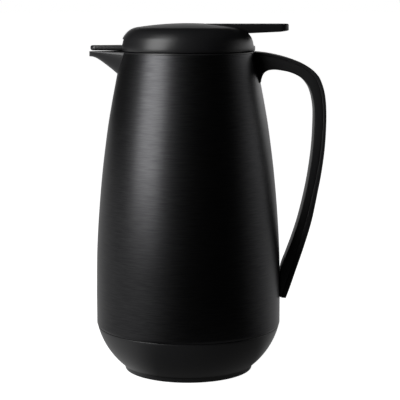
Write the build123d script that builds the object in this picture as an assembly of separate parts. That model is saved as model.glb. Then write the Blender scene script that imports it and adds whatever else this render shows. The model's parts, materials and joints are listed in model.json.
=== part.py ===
from build123d import *
import os
from math import cos, radians, sin

# Insulated serving jug of about one litre, with a press-lever stopper lid.
# Millimetres, +Z up. The origin is the centre of the resting face, the spout points to -X and
# the handle to +X. Every function below returns one named sub-part, and the last lines write
# each of them to its own STEP file.

# ---- driving dimensions -------------------------------------------------------------------
body_radius = 70.0        # widest radius of the metal shell
body_widest_z = 60.0      # height up to which the shell stays at its widest
shell_bottom_z = 34.9     # seam between shell and base
shell_knee_z = 37.3       # where the shell starts to turn under
shell_top_z = 240.7
shell_top_radius = 49.95
shell_wall = 0.8
seam = 0.3                # visible gap between shell and base

foot_radius = 48.7
foot_corner = (49.8, 4.0)  # where the bowl meets the foot
foot_pad_radius = 44.8
foot_pad_thickness = 2.2
foot_ring_z = 0.4         # the rubber pad stands this proud of the plastic ring
base_wall = 2.4
sleeve_radius = 65.0      # base sleeve that locks into the ring inside the shell
sleeve_top_z = 45.0

rim_z = 242.0             # top face of the collar
flange_z = 239.8          # underside of the collar's top flange
well_radius = 38.5        # the well that takes the stopper
seat_z = 224.5            # top of the seat that the stopper is pressed on
seat_hole_radius = 28.6
ledge_z, ledge_height = 233.0, 3.0
lug_count = 3

lid_z = 242.6             # lower edge of the lid
lid_radius = 50.1
lid_wall = 2.2
crown_z = 262.9
crown_radius = 37.0       # where the crown turns into the shoulder
crown_edge_z = 260.1
crown_slope = 0.150       # rise over run of the crown at its edge
slot_half_width = 11.6    # lever slot and flap window
slot_inner_x = 12.0
slot_floor_z = 246.0
window_top_z = 251.2

lever_pivot = (-37.0, 252.5)
lever_half_width = 11.0
lever_tip_x = 74.8
lever_top_z = 262.45
flap_pivot = (-28.0, 247.2)
flap_half_width = 11.2
flap_tip_x = -72.9
flap_bottom_z, flap_top_z = 242.75, 246.55
hub_radius = 3.2
pin_radius = 1.25
pin_clearance = 0.06

plug_wall_radius = 35.8   # outer wall of the stopper
nose_radius = 24.4
nose_z = 214.5            # lower face of the valve seat
stem_radius = 2.5
fit_gap = 0.05            # gap between pieces that are pushed or screwed together
lid_screw_angles = (50, 130, 230, 310)
lid_screw_radius = 41.0

liner_radius = 58.0
neck_radius = 32.9
glass = 1.6
liner_bottom_z = 42.0
liner_top_z = 221.0
vacuum_gap = 3.9

spout_tip_x = -73.8
spout_nose_radius = 6.4
spout_nose_x = spout_tip_x + spout_nose_radius
spout_flare = 23.8        # angle in degrees between a flank and the mid plane
spout_stations = ((-42.0, 24.5), (-53.0, 16.7), (-60.0, 11.0), (-67.0, 5.7), (-71.0, 4.0),
                  (spout_tip_x, 3.6))     # x and depth under the rim
handle_root_half_width = 11.6
handle_screw_x = 43.4
handle_screw_y = 6.0
foot_screw_z = 72.0


# ---- helpers ------------------------------------------------------------------------------
def turned(curve):
    """Solid of revolution about Z from a closed (radius, z) outline."""
    return revolve(Plane.XZ * make_face(curve), Axis.Z)


def tube(inner, outer, low, high):
    """Plain ring about Z; with no inner radius it is a disc."""
    ring = Pos(0, 0, low) * extrude(Circle(outer), high - low)
    if inner:
        ring -= Pos(0, 0, low - 1) * extrude(Circle(inner), high - low + 2)
    return ring


def block(low, high):
    """Box between two corners."""
    size = [b - a for a, b in zip(low, high)]
    centre = [(a + b) / 2 for a, b in zip(low, high)]
    return Pos(*centre) * Box(*size)


def side_plate(outline, half_width):
    """Closed (x, z) outline made as thick as twice half_width, centred on the mid plane."""
    return extrude(Plane.XZ * make_face(outline), half_width, both=True)


def cross_pin(centre, radius, half_length):
    """Cylinder along Y at an (x, z) centre."""
    return Pos(centre[0], 0, centre[1]) * Rot(90, 0, 0) * Cylinder(radius, 2 * half_length)


def sector(inner, outer, low, high, middle, span):
    """Part of a ring, centred on the angle middle and span degrees long."""
    reach = 2 * outer
    edges = [radians(middle + s * span / 2) for s in (-1, 1)]
    corners = [(reach * cos(a), reach * sin(a)) for a in edges]
    wedge = extrude(make_face(Polyline((0, 0), *corners, (0, 0))), high - low)
    return tube(inner, outer, low, high) & Pos(0, 0, low) * wedge


def at_angle(angle, radius):
    return radius * cos(radians(angle)), radius * sin(radians(angle))


def screw(head_radius, head_height, shank_radius, length, sunk=False, recess=True):
    """Screw pointing down -Z with the top of its head at the origin; without recess, its hole."""
    if sunk:
        head = Pos(0, 0, -head_height / 2) * Cone(shank_radius, head_radius, head_height)
    else:
        head = Pos(0, 0, -head_height / 2) * Cylinder(head_radius, head_height)
    shank = Pos(0, 0, -length / 2 - head_height / 2) * Cylinder(shank_radius, length - head_height)
    if recess:
        head -= Box(head_radius * 1.3, 0.6, 1.6) + Box(0.6, head_radius * 1.3, 1.6)
    return head + shank


# ---- outer body ---------------------------------------------------------------------------
def shell_line(inset):
    """Side line of the shell, moved inwards by inset."""
    points = ((body_radius, body_widest_z), (67.5, 122.0), (60.7, 183.0),
              (54.1, 219.6), (shell_top_radius, shell_top_z))
    return Spline(*[(r - inset, z) for r, z in points], tangents=[(0, 1), (-0.19, 1)])


def shell_envelope(grow=0.0):
    """Solid that fills the shell's outer surface, used to fit other pieces against it."""
    side = shell_line(-grow)
    low = Polyline((0, shell_knee_z), (body_radius + grow, shell_knee_z), side @ 0)
    top = Polyline(side @ 1, (shell_top_radius + grow + 0.1, shell_top_z + 3),
                   (0, shell_top_z + 3), (0, shell_knee_z))
    return turned(low + side + top)


def make_outer_shell():
    outer, inner = shell_line(0), shell_line(shell_wall)
    lip_radius = body_radius - 0.7
    foot = Polyline((lip_radius, shell_bottom_z), (body_radius, shell_knee_z), outer @ 0)
    back = Polyline(inner @ 0, (body_radius - shell_wall, shell_knee_z),
                    (lip_radius - shell_wall, shell_bottom_z), (lip_radius, shell_bottom_z))
    shell = turned(foot + outer + Line(outer @ 1, inner @ 1) + inner + back)
    shell -= spout_form(grow=0.15)
    shell -= block((40, -10.2, 233.4), (60, 10.2, shell_top_z + 1))
    return shell - Pos(68, 0, foot_screw_z) * Rot(0, 90, 0) * Cylinder(1.9, 10)


def make_base_cap():
    lip = (69.3, shell_bottom_z - seam)
    outside = ThreePointArc(foot_corner, (60.5, 15.3), lip)
    inside = ThreePointArc((66.0, 32.4), (58.5, 17.0), (47.0, 6.0))
    low = Polyline((0, foot_pad_thickness), (45.0, foot_pad_thickness), (45.0, foot_ring_z),
                   (foot_radius, foot_ring_z), (foot_radius, 3.7), foot_corner)
    inner_sleeve = sleeve_radius - 2.2
    top = Polyline(lip, (sleeve_radius, lip[1]), (sleeve_radius, sleeve_top_z),
                   (inner_sleeve, sleeve_top_z), (inner_sleeve, 32.4), (66.0, 32.4))
    floor_z = foot_pad_thickness + base_wall
    floor = Polyline((47.0, 6.0), (43.5, floor_z), (0, floor_z), (0, foot_pad_thickness))
    cap = turned(low + outside + top + inside + floor)
    cap += tube(26, 29, floor_z - 0.5, 33.0)
    for n in range(6):
        cap += Rot(0, 0, 60 * n) * block((28, -1, floor_z - 0.5), (50, 1, 20))
    for n in range(4):
        cap += sector(sleeve_radius - 0.5, sleeve_radius + 1.9, 41.3, 43.8, 45 + 90 * n, 36)
    return cap


def make_base_ring():
    ring = tube(67.2, body_radius - shell_wall - fit_gap, 37.4, 50.0)
    for n in range(4):
        ring += sector(sleeve_radius + 0.3, 67.5, 38.4, 41.1, 45 + 90 * n, 42)
    return ring


def make_foot_pad():
    pad = tube(0, foot_pad_radius, 0, foot_pad_thickness)
    for radius in (18, 28, 38):
        pad -= tube(radius - 0.8, radius + 0.8, -0.5, 0.5)
    return pad


# ---- collar and spout ---------------------------------------------------------------------
def spout_half_width(x):
    """Half the spout's width at x, along its straight flank."""
    slope = radians(spout_flare)
    touch_x = spout_nose_x - spout_nose_radius * sin(slope)
    return spout_nose_radius * cos(slope) + (x - touch_x) * sin(slope) / cos(slope)


def spout_plan(inset, thickness, low):
    """Spout seen from above: straight flanks that run into a round nose."""
    slope, radius = radians(spout_flare), spout_nose_radius - inset
    touch = (spout_nose_x - radius * sin(slope), radius * cos(slope))
    root = (-30.0, spout_half_width(-30.0) - inset / cos(slope))
    sides = Polyline(touch, root, (root[0], -root[1]), (touch[0], -touch[1]))
    nose = ThreePointArc(touch, (spout_nose_x - radius, 0), (touch[0], -touch[1]))
    return Pos(0, 0, low) * extrude(make_face(sides + nose), thickness)


def spout_section(x, half_width, depth):
    """Half ellipse hanging from the rim, across the spout at x."""
    arc = EllipticalCenterArc((0, 0), half_width, depth, start_angle=180, arc_size=180)
    face = make_face(arc + Line(arc @ 1, arc @ 0))
    return Pos(x, 0, rim_z) * (Plane.YZ * face)


def spout_form(grow=0.0):
    """Outside of the spout, from inside the shell to its tip."""
    faces = [spout_section(x, spout_half_width(x) + 0.5 + grow, depth + grow)
             for x, depth in spout_stations]
    return loft(faces) & spout_plan(0.25 - grow, 40, rim_z - 30)


def spout_channel():
    """The pouring channel, open at the top and running back into the well."""
    wall = 2.0
    cuts = [spout_section(x, spout_half_width(x) - wall, depth - wall)
            for x, depth in spout_stations[:-1]]
    cuts.append(spout_section(spout_tip_x + 1.2, 2.6, 1.7))
    mouth = block((-46, -10.5, 229.0), (-34, 10.5, rim_z + 1))
    return loft(cuts) + mouth


def collar_ring():
    """Rim, skirt, well, seat and neck sleeve, turned in one piece."""
    skirt_out, skirt_in, skirt_low = 48.7, 46.6, 231.0
    well_out, seat_low = well_radius + 2, seat_z - 2
    sleeve_in, sleeve_out, sleeve_low = 35.4, 37.4, 213.0
    return turned(Polyline(
        (seat_hole_radius, seat_low), (sleeve_in, seat_low), (sleeve_in, sleeve_low),
        (sleeve_out, sleeve_low), (sleeve_out, seat_low), (well_out, seat_low),
        (well_out, flange_z), (skirt_in, flange_z), (skirt_in, skirt_low), (skirt_out, skirt_low),
        (skirt_out, shell_top_z), (shell_top_radius, shell_top_z), (shell_top_radius, rim_z - 0.3),
        (shell_top_radius - 0.3, rim_z), (well_radius, rim_z), (well_radius, seat_z),
        (seat_hole_radius, seat_z), (seat_hole_radius, seat_low)))


def make_collar():
    lip = spout_plan(0, rim_z - shell_top_z, shell_top_z) - tube(0, 47.5, 230, 250)
    beak = spout_form() - shell_envelope(-2.6)
    collar = Rot(0, 0, 90) * collar_ring() + lip + beak
    for n in range(8):
        angle = 22.5 + 45 * n
        collar += Rot(0, 0, angle) * block((39.5, -0.8, 232.0), (47.5, 0.8, flange_z + 0.5))
    for n in range(lug_count):
        collar += sector(plug_wall_radius + 0.6, well_radius + 0.5,
                         ledge_z, ledge_z + ledge_height, 120 * n, 60)
    collar -= tube(0, well_radius, ledge_z + ledge_height, rim_z + 2)
    collar -= spout_channel()
    collar -= block((45.3, -10.2, 233.4), (52, 10.2, flange_z))
    for y in (-handle_screw_y, handle_screw_y):
        collar -= Pos(handle_screw_x, y, rim_z) * screw(2.9, 1.8, 1.7, 20, sunk=True, recess=False)
    return collar


def make_neck_gasket():
    ring = tube(seat_hole_radius, 35.3, liner_top_z + fit_gap, seat_z - 2 - fit_gap)
    return ring + tube(neck_radius + fit_gap, 35.3, 212.5, liner_top_z + 0.5)


# ---- handle -------------------------------------------------------------------------------
def handle_outer_line():
    return Spline((46.0, 242.0), (62.4, 240.3), (78.0, 236.1), (90.1, 230.4), (98.6, 220.9),
                  (103.2, 194.0), (97.4, 137.0), (81.0, 75.1), (74.3, 55.2))


def handle_split_line():
    return Spline((46.0, 240.0), (62.0, 238.2), (77.2, 234.1), (88.6, 228.4), (96.3, 219.4),
                  (100.5, 192.0), (94.4, 140.3), (77.8, 78.2), (70.4, 55.6))


def handle_inner_line():
    return Spline((53.6, 219.0), (55.3, 224.6), (59.6, 228.2), (68.6, 228.4), (82.2, 223.9), (91.4, 212.7),
                  (94.2, 190.0), (88.4, 136.9), (76.4, 94.4), (67.0, 73.6))


def handle_width():
    """Handle seen from the spout side: broad root, slimmer grip, narrow foot."""
    root, grip, foot = handle_root_half_width, 10.4, 7.6
    flank = Spline((root, 243.0), (grip, 196.0), (9.8, 120.0), (foot, 50.0))
    other = Spline((-root, 243.0), (-grip, 196.0), (-9.8, 120.0), (-foot, 50.0))
    face = make_face(flank + Line(flank @ 1, other @ 1) + other + Line(other @ 0, flank @ 0))
    return Pos(40, 0, 0) * extrude(Plane.YZ * face, 80)


def make_handle_grip():
    split, inner = handle_split_line(), handle_inner_line()
    outline = split + Polyline(split @ 1, (66.0, 56.8), inner @ 1) + inner
    outline += Polyline(inner @ 0, (46.0, 219.0), split @ 0)
    grip = side_plate(outline, 20) & handle_width()
    grip -= shell_envelope(0.02)
    grip += block((41.4, -10, 233.6), (49.2, 10, flange_z - fit_gap))
    grip += block((41.4, -10, 233.6), (51.2, 10, 238.7))
    grip -= Pos(70, 0, foot_screw_z) * Rot(0, 90, 0) * Cylinder(1.8, 10)
    for y in (-handle_screw_y, handle_screw_y):
        grip -= Pos(handle_screw_x, y, 236) * Cylinder(1.55, 12)
    return grip


def make_handle_cover():
    outer, split = handle_outer_line(), handle_split_line()
    tip = ThreePointArc(outer @ 1, (73.2, 53.2), split @ 1)
    outline = outer + tip + split + Line(split @ 0, outer @ 0)
    cover = side_plate(outline, 20) & handle_width()
    return cover - shell_envelope(0.02)


def make_handle_upper_screws():
    return Compound([Pos(handle_screw_x, y, rim_z - fit_gap) * screw(2.75, 1.7, 1.5, 9, sunk=True)
                     for y in (-handle_screw_y, handle_screw_y)])


def make_handle_lower_screw():
    return Pos(66.1, 0, foot_screw_z) * Rot(0, -90, 0) * screw(3.2, 2.0, 1.7, 8.6)


def make_handle_washer():
    washer = Cylinder(4.5, 0.8) - Cylinder(1.9, 2)
    return Pos(68.55, 0, foot_screw_z) * Rot(0, 90, 0) * washer


# ---- vacuum liner -------------------------------------------------------------------------
def liner_form(inset, top):
    """Bottle shape of the glass liner, moved inwards by inset."""
    radius, neck, low = liner_radius - inset, neck_radius - inset, liner_bottom_z + inset
    knuckle_z, shoulder_z, neck_z = 62.0, 148.0, 208.0
    bottom = EllipticalCenterArc((0, knuckle_z), radius, knuckle_z - low, start_angle=270, arc_size=90)
    wall = Line((radius, knuckle_z), (radius, shoulder_z))
    shoulder = Spline((radius, shoulder_z), (radius - 4.5, 168.0), (neck + 6.5, 198.0), (neck, neck_z),
                      tangents=[(0, 1), (0, 1)])
    top_line = Polyline((neck, neck_z), (neck, top), (0, top), (0, low))
    return turned(bottom + wall + shoulder + top_line)


def make_liner_outer_glass():
    outer = liner_form(0, liner_top_z - 2)
    tip = Pos(0, 0, 39.5) * Cone(1.2, 4.0, 6)
    return outer + tip - liner_form(glass, liner_top_z)


def make_liner_inner_glass():
    inset = glass + vacuum_gap
    inner_radius = neck_radius - inset - glass + 1.7
    body = liner_form(inset, liner_top_z - 2) - liner_form(inset + glass, liner_top_z)
    rim = tube(neck_radius - inset - glass, neck_radius, liner_top_z - 2 + 0.02, liner_top_z)
    rim = fillet(rim.edges().group_by(Axis.Z)[-1], 0.9)
    join = tube(neck_radius - inset - glass, inner_radius, liner_top_z - 3, liner_top_z - 1)
    return body + rim + join


def make_liner_spacers():
    gap = liner_form(glass + 0.05, 200) - liner_form(glass + vacuum_gap - 0.05, 205)
    pads = []
    for angle in (30, 150, 270):
        bar = Rot(0, 0, angle) * Pos(54, 0, 78) * Rot(0, 90, 0) * Cylinder(5, 12)
        pads.append((bar & gap).solids()[0])
    return Compound(pads)


def make_liner_cushion():
    cup = tube(12, 38, 33.0, 48.0)
    return cup - liner_form(-0.02, 100)


# ---- stopper and lid ----------------------------------------------------------------------
def crown_height(radius, drop=0.0):
    """Height of the lid's spherical crown at a radius."""
    rise = crown_z - crown_edge_z
    sphere = (crown_radius**2 + rise**2) / (2 * rise)
    return crown_z - sphere + (sphere**2 - radius**2) ** 0.5 - drop


def lid_form(inset):
    """Solid shape of the lid; with an inset, the space inside its wall.

    It is turned a quarter, so that the surface's own seam stays clear of slot and window.
    """
    low = lid_z - (1 if inset else 0)
    edge = (crown_radius - inset * 0.3, crown_height(crown_radius, inset))
    side = Spline((lid_radius - inset, 245.0), (48.5 - inset, 252.2 - inset * 0.2),
                  (45.7 - inset * 0.8, 256.0 - inset * 0.7), edge, tangents=[(0, 1), (-1, crown_slope)])
    half = edge[0] / 2
    crown = ThreePointArc(edge, (half, crown_height(half, inset)), (0, crown_z - inset))
    low_line = Polyline((0, crown_z - inset), (0, low), (lid_radius - inset - 0.4, low),
                        (lid_radius - inset, low + 0.4), (lid_radius - inset, 245.0))
    return Rot(0, 0, 90) * turned(low_line + side + crown)


def make_lid_dome():
    hollow = lid_form(lid_wall)
    dome = lid_form(0) - hollow
    for angle in lid_screw_angles:
        x, y = at_angle(angle, lid_screw_radius)
        post = Pos(x, y, 251.3) * Cylinder(3.4, 13.3)
        post -= Pos(x, y, 247) * Cylinder(1.3, 12)
        dome += post & lid_form(0.6)
    slot = block((slot_inner_x, -slot_half_width, slot_floor_z), (60, slot_half_width, 270))
    slot = fillet(slot.edges().filter_by(Axis.Z).group_by(Axis.X)[0], 3.0)
    window = block((-60, -slot_half_width, lid_z - 2), (-40, slot_half_width, window_top_z))
    return dome - slot - window


def make_stopper_deck():
    deck = tube(0, 47.4, 242.4, 244.6) + tube(0, plug_wall_radius, 240.3, 242.6)
    deck -= block((-60, -11.8, 242.35), (-24.2, 11.8, 250))
    deck += tube(0, 9.6, 230.4, 241)
    deck -= tube(0, 7.4, 232.6, 250)
    deck -= tube(0, stem_radius + pin_clearance, 225, 240)
    deck += tube(31.2, 33.5, 236.0, 240.5)
    deck -= block((-40, -10, 235), (-28, 10, 240.3))
    for side in (-1, 1):
        y = side * 12.95
        cheek = make_hull([*(Pos(*lever_pivot) * Circle(3.4)).edges(),
                           *(Pos(*flap_pivot) * Circle(3.4)).edges(),
                           *Polyline((-40.4, 243.0), (-24.0, 243.0)).edges()])
        plate = extrude(Plane.XZ * cheek, 1.05, both=True)
        deck += Pos(0, y, 0) * plate
    for pivot in (lever_pivot, flap_pivot):
        deck -= cross_pin(pivot, pin_radius + 0.01, 20)
    for angle in lid_screw_angles:
        x, y = at_angle(angle, lid_screw_radius)
        deck -= Pos(x, y, 242.4) * Rot(180, 0, 0) * screw(2.5, 1.5, 1.5, 8, sunk=True, recess=False)
    return deck


def make_stopper_cup():
    wall, floor = 2.1, 226.5
    inner, nose_inner = plug_wall_radius - 2.2, nose_radius - wall
    outline = Polyline((12, nose_z), (nose_radius, nose_z), (nose_radius, floor),
                       (plug_wall_radius, floor), (plug_wall_radius, 240.25), (inner, 240.25),
                       (inner, floor + wall), (nose_inner, floor + wall),
                       (nose_inner, nose_z + wall), (12, nose_z + wall), (12, nose_z))
    cup = turned(outline)
    for n in range(lug_count):
        cup += sector(inner + 1, well_radius - 0.6, 229.7, 232.7, 120 * n, 44)
    return cup - block((-40, -10, 229.4), (-28, 10, 239.4))


def make_stopper_gasket():
    return tube(28.9, 35.0, seat_z + fit_gap, 226.5 - fit_gap)


def make_stem_seal():
    return tube(stem_radius + 0.03, 5.5, 228.6, 230.35)


def make_lid_screws():
    places = [at_angle(angle, lid_screw_radius) for angle in lid_screw_angles]
    return Compound([Pos(x, y, 242.45) * Rot(180, 0, 0) * screw(2.3, 1.4, 1.25, 8.5, sunk=True)
                     for x, y in places])


def make_lever_pin():
    return cross_pin(lever_pivot, pin_radius, 13.9)


def make_flap_pin():
    return cross_pin(flap_pivot, pin_radius, 13.9)


# ---- moving pieces ------------------------------------------------------------------------
def lever_plan():
    """Visible plate of the lever seen from above, with rounded corners."""
    length = lever_tip_x - slot_inner_x - 0.6
    plate = RectangleRounded(length, 2 * lever_half_width, 2.4)
    tip = RectangleRounded(length, 2 * lever_half_width, 6.5)
    half = Pos(-length / 4, 0) * Rectangle(length / 2, 40)
    return Pos(lever_tip_x - length / 2, 0) * (tip - half + (plate & half))


def make_thumb_lever():
    x, z = lever_pivot
    tip = lever_tip_x
    plate = side_plate(Polyline((8, lever_top_z), (tip + 1, lever_top_z), (tip + 1, 257.6),
                                (47.0, 254.6), (8, 254.5), (8, lever_top_z)), lever_half_width)
    plate &= Pos(0, 0, 240) * extrude(lever_plan(), 40)
    plate = fillet(plate.edges().group_by(Axis.Z)[-1], 0.9)
    arm = Polyline((20.0, 259.1), (20.0, 254.6), (3.2, 254.4), (1.2, 253.35), (-2.6, 253.35),
                   (-4.6, 254.4), (-11.4, 254.4), (-13.0, 250.8), (-20.5, 250.8), (-22.5, 252.2),
                   (x, 252.2), (x, z + hub_radius), (12.6, 259.1), (20.0, 259.1))
    lever = plate + side_plate(arm, lever_half_width - 0.2)
    lever += cross_pin(lever_pivot, hub_radius, lever_half_width)
    lever -= block((-20, -8.4, 255.4), (9.0, 8.4, 260.0))
    return lever - cross_pin(lever_pivot, pin_radius + pin_clearance, 20)


def flap_plan():
    """Flap seen from above: parallel in the lid's window, then closing on a rounded tip."""
    tip_radius = 4.9
    centre_x = flap_tip_x + tip_radius
    half = flap_half_width
    sides = Polyline((centre_x, tip_radius), (-47.5, half), (-20, half), (-20, -half),
                     (-47.5, -half), (centre_x, -tip_radius))
    nose = ThreePointArc((centre_x, tip_radius), (flap_tip_x, 0), (centre_x, -tip_radius))
    return make_face(sides + nose)


def make_spout_flap():
    x, z = flap_pivot
    plate = Pos(0, 0, flap_bottom_z) * extrude(flap_plan(), flap_top_z - flap_bottom_z)
    plate &= block((-80, -20, 240), (x - 1.5, 20, 250))
    plate = fillet(plate.edges().group_by(Axis.Z)[-1].filter_by(Axis.Y, reverse=True), 1.0)
    tail = side_plate(Polyline((x, z - 1.2), (x + 10.5, 248.4), (x + 10.5, 250.4),
                               (x - 1, 250.35), (x, z - 1.2)), 6.0)
    flap = plate + cross_pin(flap_pivot, hub_radius, flap_half_width) + tail
    return flap - cross_pin(flap_pivot, pin_radius + pin_clearance, 20)


def make_valve_stem():
    stem = tube(0, stem_radius, 211.1, 253.0)
    return stem - tube(0, 1.5, 205, 219)


def make_stem_button():
    button = tube(stem_radius + fit_gap, 6.8, 250.7, 253.0)
    return button + tube(stem_radius + fit_gap, 4.4, 248.6, 251)


def make_valve_plug():
    plug = tube(0, 15.6, 209.6, 212.9) + tube(0, 5.0, 212.0, 217.5)
    plug -= tube(0, stem_radius + fit_gap, 211.0, 220)
    return plug - tube(0, 1.65, 205, 220)


def make_valve_seal():
    return tube(9.8, 15.0, 212.95, nose_z - 0.06)


def make_plug_screw():
    return Pos(0, 0, 207.6) * Rot(180, 0, 0) * screw(3.2, 1.9, 1.4, 9.5)


def make_return_spring():
    """Compression spring between the deck's pocket and the stem button."""
    wire, coil_radius, low, high = 0.45, 5.7, 233.2, 250.1
    turns = 6
    path = Pos(0, 0, low) * Helix((high - low) / turns, high - low, coil_radius)
    start = Plane(origin=path @ 0, z_dir=path % 0)
    return sweep(start * Circle(wire), path=path, is_frenet=True)


pieces = {
    "outer_shell": make_outer_shell,
    "base_cap": make_base_cap,
    "base_ring": make_base_ring,
    "foot_pad": make_foot_pad,
    "collar": make_collar,
    "neck_gasket": make_neck_gasket,
    "handle_grip": make_handle_grip,
    "handle_cover": make_handle_cover,
    "handle_upper_screws": make_handle_upper_screws,
    "handle_lower_screw": make_handle_lower_screw,
    "handle_washer": make_handle_washer,
    "liner_outer_glass": make_liner_outer_glass,
    "liner_inner_glass": make_liner_inner_glass,
    "liner_spacers": make_liner_spacers,
    "liner_cushion": make_liner_cushion,
    "lid_dome": make_lid_dome,
    "lid_screws": make_lid_screws,
    "stopper_deck": make_stopper_deck,
    "stopper_cup": make_stopper_cup,
    "stopper_gasket": make_stopper_gasket,
    "stem_seal": make_stem_seal,
    "lever_pin": make_lever_pin,
    "flap_pin": make_flap_pin,
    "thumb_lever": make_thumb_lever,
    "spout_flap": make_spout_flap,
    "valve_stem": make_valve_stem,
    "stem_button": make_stem_button,
    "valve_plug": make_valve_plug,
    "valve_seal": make_valve_seal,
    "plug_screw": make_plug_screw,
    "return_spring": make_return_spring,
}

os.makedirs("parts", exist_ok=True)
for name, make in pieces.items():
    export_step(make(), f"parts/{name}.step")
    print("made", name)
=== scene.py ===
import json
from math import atan2, cos, pi, radians, sin, sqrt, tan

import bmesh
import bpy
from mathutils import Matrix, Vector


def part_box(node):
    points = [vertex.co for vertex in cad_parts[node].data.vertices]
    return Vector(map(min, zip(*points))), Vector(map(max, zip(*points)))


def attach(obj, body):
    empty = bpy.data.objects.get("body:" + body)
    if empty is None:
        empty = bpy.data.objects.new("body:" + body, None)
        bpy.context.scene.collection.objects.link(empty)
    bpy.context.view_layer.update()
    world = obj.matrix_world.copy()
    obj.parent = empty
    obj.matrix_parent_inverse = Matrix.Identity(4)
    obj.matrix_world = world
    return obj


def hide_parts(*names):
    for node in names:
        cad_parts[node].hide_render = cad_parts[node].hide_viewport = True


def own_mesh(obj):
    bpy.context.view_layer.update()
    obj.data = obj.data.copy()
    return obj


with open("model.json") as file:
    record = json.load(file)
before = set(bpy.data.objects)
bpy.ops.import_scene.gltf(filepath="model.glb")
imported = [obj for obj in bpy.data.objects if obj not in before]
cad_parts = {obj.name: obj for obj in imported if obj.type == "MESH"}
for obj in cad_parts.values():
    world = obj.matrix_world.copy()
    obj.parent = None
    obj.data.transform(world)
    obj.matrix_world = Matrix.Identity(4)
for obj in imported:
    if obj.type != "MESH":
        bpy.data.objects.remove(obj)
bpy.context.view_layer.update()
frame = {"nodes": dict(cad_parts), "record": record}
nodes = frame["nodes"]
scene = bpy.context.scene
mm = 0.001
print("frame loaded with", len(nodes), "nodes")


# Places that several pieces share, read from the frame
shellLow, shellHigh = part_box("outer_shell")
collarLow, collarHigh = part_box("collar")
lidLow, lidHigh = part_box("lid_dome")
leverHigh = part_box("thumb_lever")[1]
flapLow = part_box("spout_flap")[0]
bodyRadius = min(shellHigh.x, shellHigh.y)
rimTop = collarHigh.z
lidBase = lidLow.z


# Small tools for lines, meshes and objects

# Points along a Catmull-Rom curve through a few guide points
def smoothLine(points, perSpan):
    ends = [2 * Vector(points[0]) - Vector(points[1])]
    ends += [Vector(p) for p in points]
    ends.append(2 * Vector(points[-1]) - Vector(points[-2]))
    line = []
    for a, b, c, d in zip(ends, ends[1:], ends[2:], ends[3:]):
        for step in range(perSpan):
            t = step / perSpan
            line.append(0.5 * (2 * b + (c - a) * t + (2 * a - 5 * b + 4 * c - d) * t**2
                               + (3 * b - a - 3 * c + d) * t**3))
    line.append(Vector(points[-1]))
    return line


# Points on the circle through three (r, z) points
def arcLine(start, through, end, steps):
    ax, ay = start
    bx, by = through
    cx, cy = end
    d = 2 * (ax * (by - cy) + bx * (cy - ay) + cx * (ay - by))
    aa, bb, cc = ax**2 + ay**2, bx**2 + by**2, cx**2 + cy**2
    ux = (aa * (by - cy) + bb * (cy - ay) + cc * (ay - by)) / d
    uy = (aa * (cx - bx) + bb * (ax - cx) + cc * (bx - ax)) / d
    radius = sqrt((ax - ux)**2 + (ay - uy)**2)
    first, middle, last = (atan2(y - uy, x - ux) for x, y in (start, through, end))
    if not min(first, last) <= middle <= max(first, last):
        first, last = (first + 2 * pi, last) if first < last else (first, last + 2 * pi)
    angles = [first + (last - first) * n / steps for n in range(steps + 1)]
    return [Vector((ux + radius * cos(a), uy + radius * sin(a))) for a in angles]


# Turns an (r, z) line, in millimetres, round the upright axis
def spinLine(bm, line, steps, closed=True):
    verts = [bm.verts.new((p[0] * mm, 0, p[1] * mm)) for p in line]
    edges = [bm.edges.new(pair) for pair in zip(verts, verts[1:])]
    if closed:
        edges.append(bm.edges.new((verts[-1], verts[0])))
    bmesh.ops.spin(bm, geom=verts + edges, cent=(0, 0, 0), axis=(0, 0, 1), dvec=(0, 0, 0),
                   angle=2 * pi, steps=steps, use_merge=True, use_duplicate=False)
    cleanMesh(bm)


def cleanMesh(bm):
    bmesh.ops.remove_doubles(bm, verts=bm.verts, dist=1e-6)
    bmesh.ops.dissolve_degenerate(bm, edges=bm.edges, dist=1e-7)
    bmesh.ops.delete(bm, geom=[e for e in bm.edges if e.is_wire], context="EDGES")
    bmesh.ops.recalc_face_normals(bm, faces=bm.faces)


def bevelEdges(bm, edges, width, segments=3):
    bmesh.ops.bevel(bm, geom=edges, offset=width, offset_type="OFFSET", affect="EDGES",
                    segments=segments, profile=0.5, material=-1, clamp_overlap=True)


# Puts a mesh in one fixed order, which Blender's operators don't keep from run to run
def fixOrder(bm):
    for items, spot in ((bm.verts, lambda v: v.co),
                        (bm.edges, lambda e: (e.verts[0].co + e.verts[1].co) / 2),
                        (bm.faces, lambda f: f.calc_center_median())):
        items.index_update()
        order = sorted(items, key=lambda item: tuple(round(c, 6) for c in spot(item)))
        rank = {item.index: n for n, item in enumerate(order)}
        items.sort(key=lambda item: rank[item.index])


def makeObject(bm, name, sharp=35):
    fixOrder(bm)
    mesh = bpy.data.meshes.new(name)
    bm.to_mesh(mesh)
    bm.free()
    mesh.shade_smooth()
    mesh.set_sharp_from_angle(angle=radians(sharp))
    piece = bpy.data.objects.new(name, mesh)
    scene.collection.objects.link(piece)
    return piece


# Cuts other out of piece or joins it on, and throws other away
def combine(piece, other, operation):
    tool = piece.modifiers.new("combine", "BOOLEAN")
    tool.object = other
    tool.operation = operation
    tool.solver = "EXACT"
    bakeModifiers(piece)
    bpy.data.objects.remove(other)


def bakeModifiers(piece, sharp=35):
    bpy.context.view_layer.update()
    done = piece.evaluated_get(bpy.context.evaluated_depsgraph_get())
    mesh = bpy.data.meshes.new_from_object(done)
    piece.modifiers.clear()
    piece.data = mesh
    mesh.shade_smooth()
    mesh.set_sharp_from_angle(angle=radians(sharp))


# Merges the points that cutting and softening leave almost on top of each other
def weld(piece, reach=0.01):
    bm = bmesh.new()
    bm.from_mesh(piece.data)
    bmesh.ops.remove_doubles(bm, verts=bm.verts, dist=reach * mm)
    bmesh.ops.dissolve_degenerate(bm, edges=bm.edges, dist=reach * mm)
    fixOrder(bm)
    bm.to_mesh(piece.data)
    bm.free()


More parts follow.
